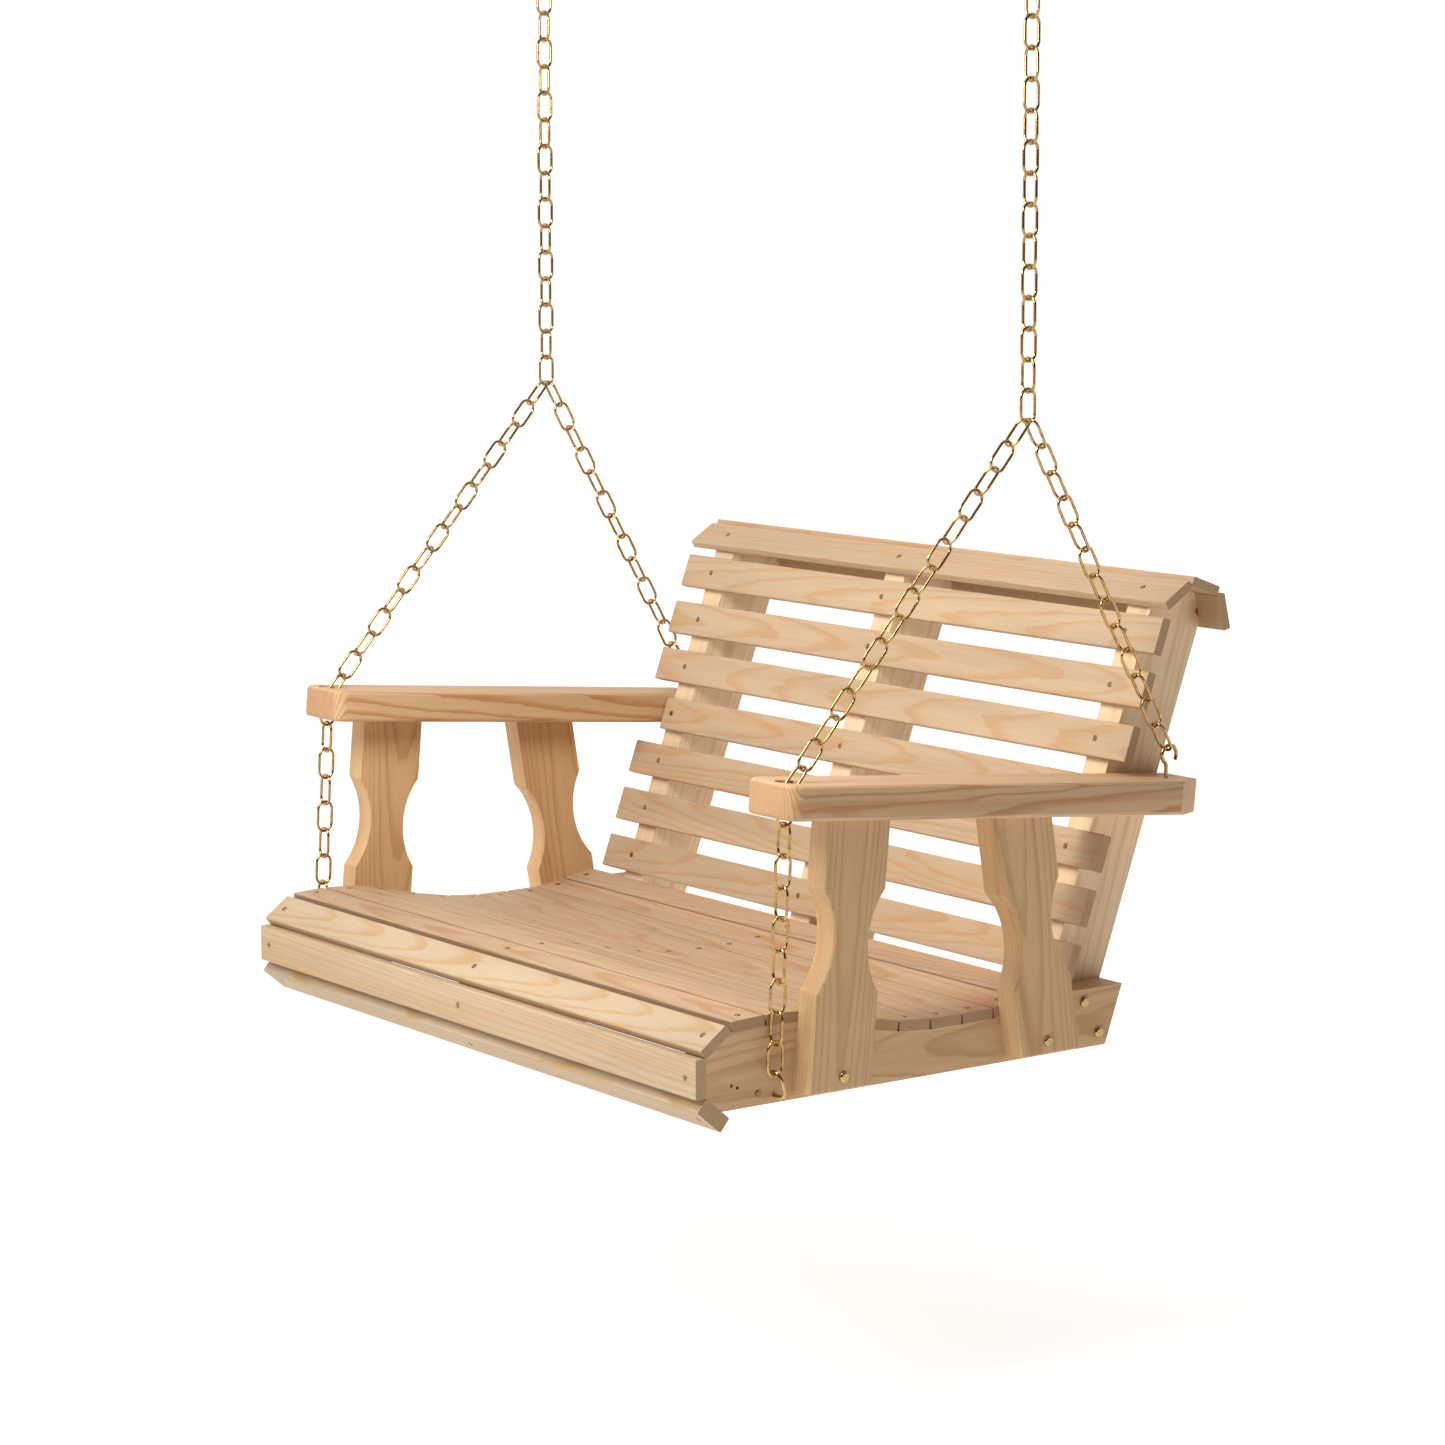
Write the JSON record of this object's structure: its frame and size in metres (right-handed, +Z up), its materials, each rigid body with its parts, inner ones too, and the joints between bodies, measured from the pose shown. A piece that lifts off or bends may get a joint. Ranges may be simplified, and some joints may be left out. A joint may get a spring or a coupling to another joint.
{
  "type": "porch swing",
  "caption": "Slatted wooden porch swing with a rolled front and back, sloping armrests on shaped posts, hung from ceiling hooks by link chains that fork to the front and rear of the seat.",
  "frame": {"origin": "in the ceiling plane, midway between the two ceiling hooks' shanks", "axes": "+Z up, +Y towards the back of the seat, +X along the slats, to the viewer's right seen from the front"},
  "size_m": [1.006, 0.7604, 1.3756],
  "materials": {
    "arm_pine": "raw planed pine, unsealed, with reddish-orange grain and a few knots",
    "post_pine": "raw planed pine with straight upright grain and sawn scallops",
    "rail_pine": "raw planed pine, straight grain along the rail",
    "upright_pine": "raw planed pine, straight grain up the upright",
    "seat_slat_pine": "raw planed pine, pale, grain along the slat",
    "nose_slat_pine": "raw planed pine, pale, grain along the slat",
    "back_slat_pine": "raw planed pine, pale, grain along the slat",
    "chain_gold": "yellow zinc plated steel wire, bright",
    "hook_gold": "yellow zinc plated steel, bright",
    "screw_brass": "yellow plated screw heads, satin",
    "bolt_zinc": "zinc plated dome heads, satin"
  },
  "bodies": {
    "ceiling_fittings": {"ceiling_hook_left": "hook_gold", "ceiling_hook_right": "hook_gold"},
    "hanger_left": {"hanger_link_left": "chain_gold"},
    "hanger_right": {"hanger_link_right": "chain_gold"},
    "chain_left": {"upper_chain_left": "chain_gold"},
    "chain_right": {"upper_chain_right": "chain_gold"},
    "junction_left": {"junction_link_left": "chain_gold"},
    "junction_right": {"junction_link_right": "chain_gold"},
    "seat": {"arm_post_front_left": "post_pine", "arm_post_front_right": "post_pine", "arm_post_rear_left": "post_pine", "arm_post_rear_right": "post_pine", "armrest_left": "arm_pine", "armrest_right": "arm_pine", "back_slat_1": "back_slat_pine", "back_slat_2": "back_slat_pine", "back_slat_3": "back_slat_pine", "back_slat_4": "back_slat_pine", "back_slat_5": "back_slat_pine", "back_slat_6": "back_slat_pine", "back_slat_7": "back_slat_pine", "cap_slat_front": "back_slat_pine", "cap_slat_rear": "back_slat_pine", "cap_slat_top": "back_slat_pine", "front_chain_left": "chain_gold", "front_chain_right": "chain_gold", "front_hook_left": "hook_gold", "front_hook_right": "hook_gold", "nose_slat_front": "nose_slat_pine", "nose_slat_lower": "nose_slat_pine", "nose_slat_upper": "nose_slat_pine", "post_bolts": "bolt_zinc", "rail_bolts": "bolt_zinc", "rail_screws": "screw_brass", "rear_chain_left": "chain_gold", "rear_chain_right": "chain_gold", "rear_hook_left": "hook_gold", "rear_hook_right": "hook_gold", "seat_rail_left": "rail_pine", "seat_rail_middle": "rail_pine", "seat_rail_right": "rail_pine", "seat_slat_01": "seat_slat_pine", "seat_slat_02": "seat_slat_pine", "seat_slat_03": "seat_slat_pine", "seat_slat_04": "seat_slat_pine", "seat_slat_05": "seat_slat_pine", "seat_slat_06": "seat_slat_pine", "seat_slat_07": "seat_slat_pine", "seat_slat_08": "seat_slat_pine", "seat_slat_09": "seat_slat_pine", "seat_slat_10": "seat_slat_pine", "slat_screws": "screw_brass", "upright_left": "upright_pine", "upright_middle": "upright_pine", "upright_right": "upright_pine"}
  },
  "joints": [
    {"name": "swing_left", "type": "hinge", "parent": "ceiling_fittings", "child": "hanger_left", "pos_m": [-0.47, 0, -0.0439], "axis": [1, 0, 0], "range_deg": [-25, 25]},
    {"name": "swing_right", "type": "hinge", "parent": "ceiling_fittings", "child": "hanger_right", "pos_m": [0.47, 0, -0.0439], "axis": [1, 0, 0], "range_deg": [-25, 25]},
    {"name": "sway_left", "type": "hinge", "parent": "hanger_left", "child": "chain_left", "pos_m": [-0.47, 0, -0.0773], "axis": [0, 1, 0], "range_deg": [-8, 8]},
    {"name": "sway_right", "type": "hinge", "parent": "hanger_right", "child": "chain_right", "pos_m": [0.47, 0, -0.0773], "axis": [0, 1, 0], "range_deg": [-8, 8]},
    {"name": "level_left", "type": "hinge", "parent": "chain_left", "child": "junction_left", "pos_m": [-0.47, 0, -0.5449], "axis": [0, 1, 0], "range_deg": [-8, 8]},
    {"name": "level_right", "type": "hinge", "parent": "chain_right", "child": "junction_right", "pos_m": [0.47, 0, -0.5449], "axis": [0, 1, 0], "range_deg": [-8, 8]},
    {"name": "rock", "type": "hinge", "parent": "junction_left", "child": "seat", "pos_m": [-0.47, 0, -0.5777], "axis": [1, 0, 0], "range_deg": [-8, 8]}
  ],
  "couplings": [
    {"joint": "swing_right", "follows": "swing_left", "ratio": 1},
    {"joint": "sway_right", "follows": "sway_left", "ratio": 1},
    {"joint": "level_left", "follows": "sway_left", "ratio": -1},
    {"joint": "level_right", "follows": "sway_left", "ratio": -1}
  ]
}
